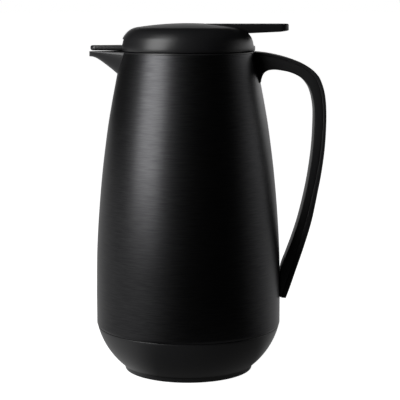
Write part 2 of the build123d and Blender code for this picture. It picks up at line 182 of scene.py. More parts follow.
def softenEdges(piece, width, segments=3, angle=40):
    tool = piece.modifiers.new("softEdges", "BEVEL")
    tool.width = width * mm
    tool.segments = segments
    tool.limit_method = "ANGLE"
    tool.angle_limit = radians(angle)
    tool.miter_outer = "MITER_ARC"
    bakeModifiers(piece)


def place(piece, body, slot, material, *replaced):
    piece.data.materials.clear()
    piece.data.materials.append(material)
    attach(piece, body)
    if replaced:
        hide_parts(*replaced)
    print("made", piece.name, len(piece.data.polygons), "faces")
    return piece


# Box between two corners in millimetres
def boxMesh(bm, low, high):
    made = bmesh.ops.create_cube(bm, size=1)["verts"]
    size = [(b - a) * mm for a, b in zip(low, high)]
    centre = [(a + b) / 2 * mm for a, b in zip(low, high)]
    bmesh.ops.scale(bm, vec=size, verts=made)
    bmesh.ops.translate(bm, vec=centre, verts=made)
    return made


# Effects that the materials share, each one node group

def newGroup(name, inputs, outputs):
    group = bpy.data.node_groups.new(name, "ShaderNodeTree")
    for label, kind, value in inputs:
        socket = group.interface.new_socket(label, in_out="INPUT", socket_type=kind)
        socket.default_value = value
    for label, kind in outputs:
        group.interface.new_socket(label, in_out="OUTPUT", socket_type=kind)
    return group, group.nodes.new("NodeGroupInput"), group.nodes.new("NodeGroupOutput")


# Adds a node; links are (own input, other node's socket) pairs
def addNode(tree, kind, links=(), **values):
    node = tree.nodes.new(kind)
    for key, value in values.items():
        setattr(node, key, value)
    for own, socket in links:
        tree.links.new(socket, node.inputs[own])
    return node


# Moulded grain: two sizes of noise that move the surface and its gloss a little
def makeGrainGroup():
    group, start, end = newGroup(
        "mouldedGrain",
        [("Scale", "NodeSocketFloat", 900.0), ("Tone", "NodeSocketFloat", 0.15),
         ("Roughness", "NodeSocketFloat", 0.35), ("Spread", "NodeSocketFloat", 0.08)],
        [("Height", "NodeSocketFloat"), ("Roughness", "NodeSocketFloat"),
         ("Mask", "NodeSocketFloat")])
    where = addNode(group, "ShaderNodeTexCoord")
    fine = addNode(group, "ShaderNodeTexNoise", [("Vector", where.outputs["Object"]),
                                                 ("Scale", start.outputs["Scale"])])
    fine.inputs["Detail"].default_value = 3
    broad = addNode(group, "ShaderNodeTexNoise", [("Vector", where.outputs["Object"])])
    broad.inputs["Scale"].default_value = 28
    broad.inputs["Detail"].default_value = 4
    centred = addNode(group, "ShaderNodeMath", [(0, broad.outputs["Fac"])], operation="SUBTRACT")
    centred.inputs[1].default_value = 0.5
    spread = addNode(group, "ShaderNodeMath", [(0, centred.outputs[0]),
                                               (1, start.outputs["Spread"])], operation="MULTIPLY")
    rough = addNode(group, "ShaderNodeMath", [(0, spread.outputs[0]),
                                              (1, start.outputs["Roughness"])], operation="ADD")
    tone = addNode(group, "ShaderNodeMath", [(0, broad.outputs["Fac"]), (1, start.outputs["Tone"])],
                   operation="MULTIPLY")
    group.links.new(fine.outputs["Fac"], end.inputs["Height"])
    group.links.new(rough.outputs[0], end.inputs["Roughness"])
    group.links.new(tone.outputs[0], end.inputs["Mask"])
    return group


# Brush lines that run round the upright axis, in three widths
def makeBrushGroup():
    group, start, end = newGroup(
        "brushLines",
        [("Lines", "NodeSocketFloat", 3200.0), ("Depth", "NodeSocketFloat", 1.0)],
        [("Height", "NodeSocketFloat"), ("Streak", "NodeSocketFloat"),
         ("Cloud", "NodeSocketFloat")])
    where = addNode(group, "ShaderNodeTexCoord")
    layers = []
    for around, along in ((75, 0.28), (100, 0.6), (140, 1.25)):
        size = addNode(group, "ShaderNodeMath", [(0, start.outputs["Lines"])], operation="MULTIPLY")
        size.inputs[1].default_value = along
        stretch = addNode(group, "ShaderNodeCombineXYZ", [("Z", size.outputs[0])])
        stretch.inputs["X"].default_value = around
        stretch.inputs["Y"].default_value = around
        spot = addNode(group, "ShaderNodeVectorMath",
                       [(0, where.outputs["Object"]), (1, stretch.outputs[0])],
                       operation="MULTIPLY")
        noise = addNode(group, "ShaderNodeTexNoise", [("Vector", spot.outputs[0])])
        noise.inputs["Scale"].default_value = 1
        noise.inputs["Detail"].default_value = 2
        layers.append(noise)
    fine = addNode(group, "ShaderNodeMath", [(0, layers[0].outputs["Fac"]),
                                             (1, layers[2].outputs["Fac"])], operation="ADD")
    total = addNode(group, "ShaderNodeMath", [(0, fine.outputs[0]),
                                              (1, layers[1].outputs["Fac"])], operation="ADD")
    height = addNode(group, "ShaderNodeMath", [(0, total.outputs[0]),
                                               (1, start.outputs["Depth"])], operation="MULTIPLY")
    streak = addNode(group, "ShaderNodeMapRange", [("Value", total.outputs[0])])
    streak.inputs["From Min"].default_value = 1.1
    streak.inputs["From Max"].default_value = 1.9
    cloud = addNode(group, "ShaderNodeTexNoise", [("Vector", where.outputs["Object"])])
    cloud.inputs["Scale"].default_value = 14
    cloud.inputs["Detail"].default_value = 3
    group.links.new(height.outputs[0], end.inputs["Height"])
    group.links.new(streak.outputs[0], end.inputs["Streak"])
    group.links.new(cloud.outputs["Fac"], end.inputs["Cloud"])
    return group


grainGroup = makeGrainGroup()
brushGroup = makeBrushGroup()


def newMaterial(name):
    material = bpy.data.materials.new(name)
    material.use_nodes = True
    return material, material.node_tree, material.node_tree.nodes["Principled BSDF"]


def placeGroup(tree, group, **values):
    node = tree.nodes.new("ShaderNodeGroup")
    node.node_tree = group
    for key, value in values.items():
        node.inputs[key].default_value = value
    return node


# Colour that goes from dark to light with a mask
def toneRamp(tree, socket, dark, light):
    mix = tree.nodes.new("ShaderNodeMix")
    mix.data_type = "RGBA"
    mix.inputs["A"].default_value = (*dark, 1)
    mix.inputs["B"].default_value = (*light, 1)
    tree.links.new(socket, mix.inputs["Factor"])
    return mix.outputs["Result"]


def bumpFrom(tree, socket, strength, distance):
    bump = addNode(tree, "ShaderNodeBump", [("Height", socket)])
    bump.inputs["Strength"].default_value = strength
    bump.inputs["Distance"].default_value = distance
    return bump.outputs["Normal"]


def makeShellMetal():
    look = {"dark": (0.036, 0.036, 0.038), "light": (0.059, 0.059, 0.061), "lines": 4200.0,
            "roughLow": 0.31, "roughHigh": 0.36, "bump": 0.06, "anisotropy": 0.30}
    material, tree, shader = newMaterial("brushedBlackShell")
    brush = placeGroup(tree, brushGroup, Lines=look["lines"])
    tree.links.new(toneRamp(tree, brush.outputs["Streak"], look["dark"], look["light"]),
                   shader.inputs["Base Color"])
    rough = addNode(tree, "ShaderNodeMapRange", [("Value", brush.outputs["Cloud"])])
    rough.inputs["To Min"].default_value = look["roughLow"]
    rough.inputs["To Max"].default_value = look["roughHigh"]
    tree.links.new(rough.outputs[0], shader.inputs["Roughness"])
    tree.links.new(bumpFrom(tree, brush.outputs["Height"], look["bump"], 0.00005),
                   shader.inputs["Normal"])
    shader.inputs["Metallic"].default_value = 1
    shader.inputs["Anisotropic"].default_value = look["anisotropy"]
    around = addNode(tree, "ShaderNodeTangent", direction_type="RADIAL", axis="Z")
    tree.links.new(around.outputs[0], shader.inputs["Tangent"])
    return material


def makePlastic(name, dark, light, roughness, spread=0.06, scale=1400.0, bump=0.06):
    material, tree, shader = newMaterial(name)
    grain = placeGroup(tree, grainGroup, Scale=scale, Tone=1.0, Roughness=roughness, Spread=spread)
    tree.links.new(toneRamp(tree, grain.outputs["Mask"], dark, light), shader.inputs["Base Color"])
    tree.links.new(grain.outputs["Roughness"], shader.inputs["Roughness"])
    tree.links.new(bumpFrom(tree, grain.outputs["Height"], bump, 0.00004), shader.inputs["Normal"])
    return material


def makeSteel():
    material, tree, shader = newMaterial("plainSteel")
    grain = placeGroup(tree, grainGroup, Scale=2600.0, Tone=1.0, Roughness=0.24, Spread=0.12)
    tree.links.new(toneRamp(tree, grain.outputs["Mask"], (0.50, 0.50, 0.51), (0.66, 0.66, 0.67)),
                   shader.inputs["Base Color"])
    tree.links.new(grain.outputs["Roughness"], shader.inputs["Roughness"])
    tree.links.new(bumpFrom(tree, grain.outputs["Height"], 0.08, 0.00003), shader.inputs["Normal"])
    shader.inputs["Metallic"].default_value = 1
    return material


# Glass with the silvering behind it, a little uneven
def makeLinerGlass():
    material, tree, shader = newMaterial("silveredGlass")
    grain = placeGroup(tree, grainGroup, Scale=220.0, Tone=1.0, Roughness=0.08, Spread=0.06)
    tree.links.new(toneRamp(tree, grain.outputs["Mask"], (0.62, 0.64, 0.66), (0.80, 0.82, 0.83)),
                   shader.inputs["Base Color"])
    tree.links.new(grain.outputs["Roughness"], shader.inputs["Roughness"])
    tree.links.new(bumpFrom(tree, grain.outputs["Height"], 0.05, 0.0001), shader.inputs["Normal"])
    shader.inputs["Metallic"].default_value = 0.85
    shader.inputs["Coat Weight"].default_value = 1
    shader.inputs["Coat Roughness"].default_value = 0.03
    return material


shellMetal = makeShellMetal()
satinBlack = makePlastic("satinBlackPlastic", (0.009, 0.009, 0.010), (0.016, 0.016, 0.017), 0.35)
handleBlack = makePlastic("handleBlackPlastic", (0.018, 0.018, 0.019), (0.030, 0.030, 0.031), 0.42,
                          scale=1100.0, bump=0.09)
innerBlack = makePlastic("innerBlackPlastic", (0.020, 0.020, 0.022), (0.034, 0.034, 0.036), 0.48,
                         scale=900.0, bump=0.10)
dullRubber = makePlastic("dullRubber", (0.030, 0.030, 0.031), (0.052, 0.052, 0.053), 0.78,
                         scale=700.0, bump=0.20)
whiteSilicone = makePlastic("whiteSilicone", (0.62, 0.61, 0.58), (0.74, 0.73, 0.70), 0.42,
                            scale=600.0, bump=0.08)
plainSteel = makeSteel()
linerGlass = makeLinerGlass()
print("materials ready")


# Shell

shell = {"steps": 192, "wall": 0.8, "lip": 0.7, "kneeHeight": 2.4, "perSpan": 14,
         "topRadius": 49.95,
         "side": [(70.0, 60.0), (69.35, 92.0), (67.5, 122.0), (64.6, 153.0), (60.7, 183.0),
                  (57.6, 201.5), (54.1, 219.6)]}


# Side line of the shell from its widest height to its top edge, moved inwards
def shellSide(inset):
    top = (shell["topRadius"], shellHigh.z / mm)
    widest = bodyRadius / mm
    guide = [(widest, shell["side"][0][1])] + shell["side"][1:] + [top]
    return [Vector((min(p[0], widest) - inset, p[1])) for p in smoothLine(guide, shell["perSpan"])]


def makeShell():
    low, radius, wall = shellLow.z / mm, bodyRadius / mm, shell["wall"]
    knee = (radius, low + shell["kneeHeight"])
    lipEdge = (radius - shell["lip"], low)
    curl = [Vector((min(p.x, radius), p.y)) for p in
            arcLine(lipEdge, (radius - 0.16, low + 0.95), knee, 6)]
    straight = shell["side"][0][1] - knee[1]
    rise = [Vector((radius, knee[1] + straight * n / 6)) for n in range(1, 6)]
    outer = curl + rise + shellSide(0)
    inner = [Vector((p.x - wall, p.y)) for p in rise + shellSide(0)]
    inner += [Vector((lipEdge[0] - wall, low + 0.4))]
    inner.sort(key=lambda p: -p.y)
    bm = bmesh.new()
    spinLine(bm, outer + inner, shell["steps"])
    return makeObject(bm, "shell", 50)


# Base

base = {"steps": 192, "gap": 0.3, "footRadius": 48.7, "footGap": 0.4,
        "cornerRadius": 49.8, "cornerHeight": 4.0, "bowlMiddle": (60.5, 15.3), "lipRadius": 69.3,
        "sleeveRadius": 65.0, "sleeveTop": 45.0}


def makeBase():
    lip = (base["lipRadius"], shellLow.z / mm - base["gap"])
    corner = (base["cornerRadius"], base["cornerHeight"])
    bowl = arcLine(corner, base["bowlMiddle"], (lip[0], lip[1] - 0.5), 26)
    foot = base["footRadius"]
    line = [(44.95, 2.2), (44.95, base["footGap"] + 0.3), (45.3, base["footGap"])]
    line += [(foot - 0.5, base["footGap"]), (foot - 0.15, base["footGap"] + 0.15)]
    line += [(foot, base["footGap"] + 0.5), (foot, 3.2), (foot + 0.2, 3.7), (foot + 0.6, 3.93)]
    line += [tuple(p) for p in bowl]
    line += [(lip[0] - 0.12, lip[1] - 0.12), (lip[0] - 0.5, lip[1])]
    sleeve = base["sleeveRadius"]
    line += [(sleeve, lip[1]), (sleeve, base["sleeveTop"]), (sleeve - 2.2, base["sleeveTop"])]
    line += [(sleeve - 2.2, 32.4), (58.5, 17.0), (47.0, 6.0), (43.5, 4.6), (0, 4.6), (0, 2.2)]
    bm = bmesh.new()
    spinLine(bm, line, base["steps"])
    return makeObject(bm, "baseBowl", 40)


pad = {"steps": 160, "radius": 44.8, "thickness": 2.2, "rings": (17, 26, 35),
       "ringWidth": 1.2, "ringDepth": 0.6}


def makeFootPad():
    line = [(0, pad["thickness"]), (0, 0)]
    for ring in pad["rings"]:
        half, depth = pad["ringWidth"] / 2, pad["ringDepth"]
        line += [(ring - half - 0.15, 0), (ring - half, 0.15), (ring - half, depth)]
        line += [(ring + half, depth), (ring + half, 0.15), (ring + half + 0.15, 0)]
    edge = pad["radius"]
    line += [(edge - 0.6, 0), (edge - 0.15, 0.18), (edge, 0.6), (edge, pad["thickness"])]
    bm = bmesh.new()
    spinLine(bm, line, pad["steps"])
    return makeObject(bm, "footPad")


# Collar with its spout

spout = {"tip": collarLow.x / mm, "noseRadius": 6.4, "flare": 23.8, "wall": 2.0, "lipEdge": 0.9,
         "root": -36.0, "around": 28, "along": 34, "tipWall": 1.7, "floorWall": 1.4,
         "shellGap": 0.15, "shellFloor": 0.85,
         "depths": [(-36.0, 26.5), (-42.0, 24.6), (-48.0, 20.9), (-53.0, 16.7), (-57.0, 13.2),
                    (-61.0, 10.1), (-65.0, 7.1), (-68.5, 4.9), (-71.2, 3.95), (-73.79, 3.7)]}


# Half the spout's width at x: straight flanks that run into a round nose
def spoutHalfWidth(x, inset=0.0):
    slope = radians(spout["flare"])
    radius = spout["noseRadius"]
    centre = spout["tip"] + radius
    touch = centre - radius * sin(slope)
    if x > touch:
        return radius * cos(slope) + (x - touch) * tan(slope) - inset / cos(slope)
    return sqrt(max((radius - inset)**2 - (x - centre)**2, 0))


def spoutDepth(x):
    line = spout["depths"]
    for (xa, da), (xb, db) in zip(line, line[1:]):
        if x >= xb:
            return da + (db - da) * (xa - x) / (xa - xb)
    return line[-1][1]


# Closed boat shape: half ellipses along the spout, bridged into one skin
def spoutLoft(name, inset, top, tip, floorInset):
    bm = bmesh.new()
    around, along = spout["around"], spout["along"]
    root = spout["root"]
    loops = []
    for n in range(along + 1):
        u = n / along
        x = root + (tip - root) * (1 - (1 - u)**1.6)
        half = max(spoutHalfWidth(x, inset), 0.25)
        depth = spoutDepth(x) - floorInset
        loop = bmesh.ops.create_circle(bm, cap_ends=False, radius=1, segments=2 * around)["verts"]
        bmesh.ops.scale(bm, vec=(half * mm, depth * mm, 1), verts=loop)
        bmesh.ops.rotate(bm, cent=(0, 0, 0), matrix=Matrix.Rotation(pi / 2, 3, "X"), verts=loop)
        bmesh.ops.rotate(bm, cent=(0, 0, 0), matrix=Matrix.Rotation(pi / 2, 3, "Z"), verts=loop)
        bmesh.ops.translate(bm, vec=(x * mm, 0, top * mm), verts=loop)
        loops.append([e for v in loop for e in v.link_edges])
    bmesh.ops.bridge_loops(bm, edges=list(dict.fromkeys(e for loop in loops for e in loop)))
    ends = [e for e in bm.edges if e.is_boundary]
    bmesh.ops.holes_fill(bm, edges=ends, sides=0)
    plane = (0, 0, top * mm)
    bmesh.ops.bisect_plane(bm, geom=bm.verts[:] + bm.edges[:] + bm.faces[:], plane_co=plane,
                           plane_no=(0, 0, 1), clear_outer=True)
    bmesh.ops.holes_fill(bm, edges=[e for e in bm.edges if e.is_boundary], sides=0)
    cleanMesh(bm)
    return makeObject(bm, name)


ring = {"steps": 160, "lip": 0.3, "radius": 49.95, "low": 240.7, "well": 38.5, "seat": 224.5,
        "seatHole": 28.6, "seatWall": 2, "sleeveIn": 35.4, "sleeveOut": 37.4, "sleeveLow": 213.0,
        "wellOut": 40.5, "skirtIn": 46.6, "skirtOut": 48.7, "skirtLow": 231.0, "flange": 239.8,
        "insideRadius": 46.8, "edge": 0.28}


def makeCollar():
    top, radius = rimTop / mm, ring["radius"]
    under = ring["seat"] - ring["seatWall"]
    line = [(ring["seatHole"], under), (ring["sleeveIn"], under),
            (ring["sleeveIn"], ring["sleeveLow"]), (ring["sleeveOut"], ring["sleeveLow"]),
            (ring["sleeveOut"], under), (ring["wellOut"], under),
            (ring["wellOut"], ring["flange"]), (ring["skirtIn"], ring["flange"]),
            (ring["skirtIn"], ring["skirtLow"]), (ring["skirtOut"], ring["skirtLow"]),
            (ring["skirtOut"], ring["low"]), (radius - 0.2, ring["low"]),
            (radius, ring["low"] + 0.2), (radius, top - ring["lip"]),
            (radius - 0.1, top - 0.1), (radius - ring["lip"], top), (ring["well"], top),
            (ring["well"], ring["seat"]), (ring["seatHole"], ring["seat"])]
    bm = bmesh.new()
    spinLine(bm, line, ring["steps"])
    collar = makeObject(bm, "spoutCollar")
    beak = spoutLoft("beak", 0.0, top, spout["tip"], 0.0)
    bm = bmesh.new()
    inside = ring["insideRadius"] * mm
    bmesh.ops.create_cone(bm, cap_ends=True, segments=120, radius1=inside, radius2=inside,
                          depth=60 * mm)
    bmesh.ops.translate(bm, vec=(0, 0, 230 * mm), verts=bm.verts)
    combine(beak, makeObject(bm, "inside"), "DIFFERENCE")
    softenEdges(beak, spout["lipEdge"], 3, 50)
    combine(collar, beak, "UNION")
    channel = spoutLoft("channel", spout["wall"], top + 0.5,
                        spout["tip"] + spout["tipWall"], spout["floorWall"])
    combine(collar, channel, "DIFFERENCE")
    weld(collar, 0.03)
    softenEdges(collar, ring["edge"], 2, 50)
    weld(collar)
    return collar


# Lid

lid = {"steps": 192, "wall": 2.2, "slotHalf": 11.6, "slotInner": 12.0, "slotFloor": 246.0,
       "windowTop": 251.2, "crownRadius": 37.0, "crownEdge": 260.1, "bevel": 0.35,
       "shoulder": [(49.9, 247.0), (49.3, 249.8), (48.5, 252.2), (47.3, 254.1), (45.6, 256.11),
                    (43.5, 257.85), (41.1, 259.1), (39.0, 259.75)]}


def crownHeight(radius, drop=0.0):
    rise = lidHigh.z / mm - lid["crownEdge"]
    sphere = (lid["crownRadius"]**2 + rise**2) / (2 * rise)
    return lidHigh.z / mm - sphere + sqrt(sphere**2 - radius**2) - drop


# Side line of the lid from its lower edge to the middle of its crown
def lidLine():
    edge, low, crown = lidHigh.y / mm, lidBase / mm, lid["crownRadius"]
    side = smoothLine([(edge, low + 2.4)] + lid["shoulder"] + [(crown, crownHeight(crown))], 4)
    return side + [Vector((r, crownHeight(r))) for r in (33, 29, 25, 21, 17, 13, 9, 5, 2, 0)]


# The same line moved inwards by the wall
def insetLine(line, wall):
    moved = []
    for before, point, after in zip(line[:1] + line, line, line[1:] + line[-1:]):
        way = (after - before).normalized()
        moved.append(Vector((max(point.x - way.y * wall, 0), point.y + way.x * wall)))
    moved[-1].x = 0
    return moved


def makeLid():
    bm = bmesh.new()
    edge, low, line = lidHigh.y / mm, lidBase / mm, lidLine()
    rim = [Vector((edge - lid["wall"], low)), Vector((edge - 0.4, low)),
           Vector((edge - 0.12, low + 0.12)), Vector((edge, low + 0.4))]
    spinLine(bm, rim + line + insetLine(line, lid["wall"])[::-1], lid["steps"])
    dome = makeObject(bm, "lidDome")
    half = lid["slotHalf"]
    bm = bmesh.new()
    boxMesh(bm, (lid["slotInner"], -half, lid["slotFloor"]), (60, half, 270))
    corners = [e for e in bm.edges if abs(e.verts[0].co.z - e.verts[1].co.z) > 1e-4
               and all(abs(v.co.x - lid["slotInner"] * mm) < 1e-6 for v in e.verts)]
    bevelEdges(bm, corners, 3 * mm, 8)
    combine(dome, makeObject(bm, "slotCutter"), "DIFFERENCE")
    bm = bmesh.new()
    boxMesh(bm, (-60, -half, lidBase / mm - 2), (-40, half, lid["windowTop"]))
    combine(dome, makeObject(bm, "windowCutter"), "DIFFERENCE")
    softenEdges(dome, lid["bevel"], 3, 50)
    weld(dome, 0.002)
    return dome


# Lever

lever = {"innerX": 12.6, "halfWidth": 11.0, "tipCorner": 6.5, "innerCorner": 2.4, "edge": 0.9,
         "underside": [(47.0, 254.15), (74.8, 257.4)], "hub": 3.2, "pivot": (-37.0, 252.5),
         "lowEnd": 0.255, "lowRim": 0.2585, "pinHole": 1.31, "armHalf": 10.8,
         "pocket": [(-20, -8.4, 255.4), (9, 8.4, 260)],
         "arm": [(20, 259.1), (20, 254.6), (3.2, 254.4), (1.2, 253.35), (-2.6, 253.35),
                 (-4.6, 254.4), (-11.4, 254.4), (-13, 250.8), (-20.5, 250.8), (-22.5, 252.2),
                 (-37, 252.2), (-37, 255.7), (12.6, 259.1)]}


# Closed (x, z) outline made into a slab across the middle, as its own object
def slab(name, outline, half):
    bm = bmesh.new()
    face = bm.faces.new([bm.verts.new((x * mm, -half * mm, z * mm)) for x, z in outline])
    raised = bmesh.ops.extrude_face_region(bm, geom=[face])["geom"]
    bmesh.ops.translate(bm, vec=(0, 2 * half * mm, 0),
                        verts=[v for v in raised if isinstance(v, bmesh.types.BMVert)])
    cleanMesh(bm)
    return makeObject(bm, name)


# Round bar across the middle at an (x, z) pivot
def crossBar(name, pivot, radius, half):
    bm = bmesh.new()
    bmesh.ops.create_cone(bm, cap_ends=True, segments=48, radius1=radius * mm, radius2=radius * mm,
                          depth=2 * half * mm)
    bmesh.ops.rotate(bm, cent=(0, 0, 0), matrix=Matrix.Rotation(pi / 2, 3, "X"), verts=bm.verts)
    bmesh.ops.translate(bm, vec=(pivot[0] * mm, 0, pivot[1] * mm), verts=bm.verts)
    return makeObject(bm, name)


def makeLever():
    tip, top = leverHigh.x / mm, leverHigh.z / mm
    half = lever["halfWidth"]
    bm = bmesh.new()
    boxMesh(bm, (lever["innerX"], -half, 252), (tip, half, top))
    long = [e for e in bm.edges if abs(e.verts[0].co.z - e.verts[1].co.z) > 1e-4]
    bevelEdges(bm, [e for e in long if e.verts[0].co.x > 0.05], lever["tipCorner"] * mm, 10)
    inner = [e for e in bm.edges if abs(e.verts[0].co.z - e.verts[1].co.z) > 1e-4
             and max(v.co.x for v in e.verts) < (lever["innerX"] + 0.01) * mm]
    bevelEdges(bm, inner, lever["innerCorner"] * mm, 6)
    (xa, za), (xb, zb) = lever["underside"]
    rise = (zb - za) / (xb - xa)
    for v in bm.verts:
        if v.co.z < lever["lowEnd"]:
            v.co.z = max(za + rise * (v.co.x / mm - xa), za) * mm
    rims = [e for e in bm.edges if len(e.link_faces) == 2 and e.calc_face_angle(0) > radians(60)]
    tops = [e for e in rims if all(v.co.z > (top - 0.2) * mm for v in e.verts)]
    lows = [e for e in rims if all(v.co.z < lever["lowRim"] for v in e.verts) and e not in tops]
    bevelEdges(bm, tops + lows, lever["edge"] * mm, 4)
    cleanMesh(bm)
    whole = makeObject(bm, "thumbLever")
    combine(whole, slab("leverArm", lever["arm"], lever["armHalf"]), "UNION")
    combine(whole, crossBar("leverHub", lever["pivot"], lever["hub"], half), "UNION")
    bm = bmesh.new()
    boxMesh(bm, *lever["pocket"])
    combine(whole, makeObject(bm, "leverPocket"), "DIFFERENCE")
    combine(whole, crossBar("leverHole", lever["pivot"], lever["pinHole"], 20), "DIFFERENCE")
    return whole


# Flap

flap = {"halfWidth": 11.2, "bendX": -47.5, "noseRadius": 4.9, "innerX": -29.5, "edge": 1.4,
        "top": 246.55, "pivot": (-28.0, 247.2), "hub": 3.2, "pinHole": 1.31, "tailHalf": 6.0,
        "tail": [(-28, 246.0), (-17.5, 248.4), (-17.5, 250.4), (-29, 250.35)]}


# Plate over the spout: parallel inside the lid, then closing on a round nose
def makeFlap():
    radius, tip, half = flap["noseRadius"], flapLow.x / mm, flap["halfWidth"]
    low = flapLow.z / mm
    bm = bmesh.new()
    nose = [Vector((tip + radius - radius * sin(a), radius * cos(a))) for a in
            [pi * n / 16 for n in range(17)]]
    outline = [(flap["innerX"], -half), (flap["innerX"], half), (flap["bendX"], half)]
    outline += [tuple(p) for p in nose] + [(flap["bendX"], -half)]
    verts = [bm.verts.new((x * mm, y * mm, low * mm)) for x, y in outline]
    face = bm.faces.new(verts)
    raised = bmesh.ops.extrude_face_region(bm, geom=[face])["geom"]
    bmesh.ops.translate(bm, vec=(0, 0, (flap["top"] - low) * mm),
                        verts=[v for v in raised if isinstance(v, bmesh.types.BMVert)])
    cleanMesh(bm)
    rims = [e for e in bm.edges if e.calc_face_angle(0) > radians(60)
            and abs(e.verts[0].co.z - e.verts[1].co.z) < 1e-6]
    bevelEdges(bm, rims, flap["edge"] * mm, 4)
    cleanMesh(bm)
    whole = makeObject(bm, "spoutFlap")
    combine(whole, crossBar("flapHub", flap["pivot"], flap["hub"], half), "UNION")
    combine(whole, slab("flapTail", flap["tail"], flap["tailHalf"]), "UNION")
    combine(whole, crossBar("flapHole", flap["pivot"], flap["pinHole"], 20), "DIFFERENCE")
    return whole


# Return spring, which stands in the lid; the real one shortens under the lever, this coil is one
# rigid piece

spring = {"wire": 0.45, "coil": 5.7, "turns": 6, "steps": 28, "sides": 12, "travel": 3.487}


def makeSpring():
    low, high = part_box("return_spring")
    wire, steps = spring["wire"] * mm, spring["turns"] * spring["steps"]
    bm = bmesh.new()
    bmesh.ops.create_circle(bm, cap_ends=False, radius=wire, segments=spring["sides"])
    bmesh.ops.rotate(bm, cent=(0, 0, 0), matrix=Matrix.Rotation(pi / 2, 3, "X"), verts=bm.verts)
    bmesh.ops.translate(bm, vec=(spring["coil"] * mm, 0, low.z + wire), verts=bm.verts)
    bmesh.ops.spin(bm, geom=bm.verts[:] + bm.edges[:], cent=(0, 0, 0), axis=(0, 0, 1),
                   dvec=(0, 0, (high.z - low.z - 2 * wire) / steps), angle=2 * pi * spring["turns"],
                   steps=steps, use_merge=False, use_duplicate=False)
    bmesh.ops.holes_fill(bm, edges=[e for e in bm.edges if e.is_boundary], sides=0)
    cleanMesh(bm)
    coil = makeObject(bm, "lidSpring")
    place(coil, "lid", "steel", plainSteel, "return_spring")
    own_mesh(coil)


# Handle

handle = {"perSpan": 5, "gripEdge": 1.8, "coverEdge": 1.2, "gripTrim": 0.15, "rootHalf": 11.6,
          "gripHalf": 10.4, "lowHalf": 9.8, "tipHalf": 7.6,
          "outer": [(48.6, 241.9), (51.8, 241.75), (54.6, 241.45), (57.9, 241.05),
                    (61.5, 240.45), (65.7, 239.6), (71.6, 238.15), (78.0, 236.1),
                    (84.6, 233.5), (90.1, 230.4), (95.0, 226.2), (98.6, 220.9), (101.9, 210.0),
                    (103.15, 194.0), (102.4, 172.0), (100.2, 153.0), (97.4, 137.0), (93.1, 115.0),
                    (87.6, 95.5), (81.0, 75.1), (77.4, 64.0), (74.3, 55.2)],
          "split": [(48.6, 239.9), (51.5, 239.65), (54.0, 239.35), (57.0, 239.0),
                    (60.5, 238.5), (64.5, 237.7), (70.5, 236.2), (77.2, 234.1),
                    (83.4, 231.4), (88.6, 228.4), (93.0, 224.4), (96.3, 219.4), (99.4, 208.6),
                    (100.6, 192.0), (99.5, 172.0), (97.3, 155.0), (94.4, 140.3), (89.9, 120.0),
                    (84.5, 99.5), (77.8, 78.2), (74.1, 66.8), (70.6, 55.6)],
          "inner": [(48.6, 217.6), (53.6, 219.0), (54.5, 221.8), (55.5, 224.7),
                    (57.2, 227.0), (59.8, 228.3), (63.6, 228.8), (68.1, 228.4),
                    (75.4, 226.9), (82.2, 223.9), (87.6, 219.3), (91.4, 212.7), (93.8, 202.0),
                    (94.2, 190.0), (93.4, 171.5), (91.3, 153.5), (88.4, 136.9), (83.9, 117.5),
                    (79.0, 101.6), (74.4, 89.0), (70.2, 76.5), (69.4, 56.4)]}


# Half the handle's width at a height: broad root, slimmer grip, narrow foot
def handleHalfWidth(z):
    levels = [(50.0, handle["tipHalf"]), (120.0, handle["lowHalf"]), (196.0, handle["gripHalf"]),
              (243.0, handle["rootHalf"])]
    for (za, wa), (zb, wb) in zip(levels, levels[1:]):
        if z <= zb:
            t = (z - za) / (zb - za)
            return wa + (wb - wa) * t
    return levels[-1][1]


# Band between two side lines: a section is extruded from station to station
def sweepBand(bm, near, far, trim=0.0):
    def corners(n):
        a, b = near[n], far[n]
        half = handleHalfWidth((a.y + b.y) / 2) - trim
        return [Vector((p.x * mm, s * half * mm, p.y * mm)) for p, s in
                ((a, -1), (b, -1), (b, 1), (a, 1))]
    verts = [bm.verts.new(c) for c in corners(0)]
    face = bm.faces.new(verts)
    for n in range(1, len(near)):
        step = bmesh.ops.extrude_discrete_faces(bm, faces=[face])["faces"][0]
        for v, c in zip(step.verts, corners(n)):
            v.co = c
        face = step
    bmesh.ops.holes_fill(bm, edges=[e for e in bm.edges if e.is_boundary], sides=0)
    bmesh.ops.recalc_face_normals(bm, faces=bm.faces)


# The long edges of a band and the rims of its two ends
def railEdges(bm):
    return [e for e in bm.edges if len(e.link_faces) == 2 and e.calc_face_angle(0) > radians(50)]


def makeHandlePart(name, near, far, edge, trim=0.0):
    bm = bmesh.new()
    sweepBand(bm, smoothLine(near, handle["perSpan"]), smoothLine(far, handle["perSpan"]), trim)
    bevelEdges(bm, railEdges(bm), edge * mm, 4)
    cleanMesh(bm)
    return makeObject(bm, name)


jugShell = makeShell()
collar = makeCollar()
cutter = spoutLoft("shellCutter", -spout["shellGap"], rimTop / mm + 1, spout["tip"],
                   spout["shellFloor"])
combine(jugShell, cutter, "DIFFERENCE")
place(jugShell, "jug", "shell", shellMetal, "outer_shell")
place(collar, "jug", "black_plastic", satinBlack, "collar")
place(makeBase(), "jug", "black_plastic", satinBlack, "base_cap")
place(makeFootPad(), "jug", "rubber", dullRubber, "foot_pad")
grip = makeHandlePart("handleGrip", handle["inner"], handle["split"], handle["gripEdge"],
                      handle["gripTrim"])
place(grip, "jug", "black_plastic", handleBlack, "handle_grip")
cover = makeHandlePart("handleCover", handle["split"], handle["outer"], handle["coverEdge"])
place(cover, "jug", "black_plastic", handleBlack, "handle_cover")
place(makeLid(), "lid", "black_plastic", satinBlack, "lid_dome")
place(makeLever(), "lever", "black_plastic", satinBlack, "thumb_lever")
place(makeFlap(), "flap", "black_plastic", satinBlack, "spout_flap")
makeSpring()


# The CAD nodes that stay get their finish

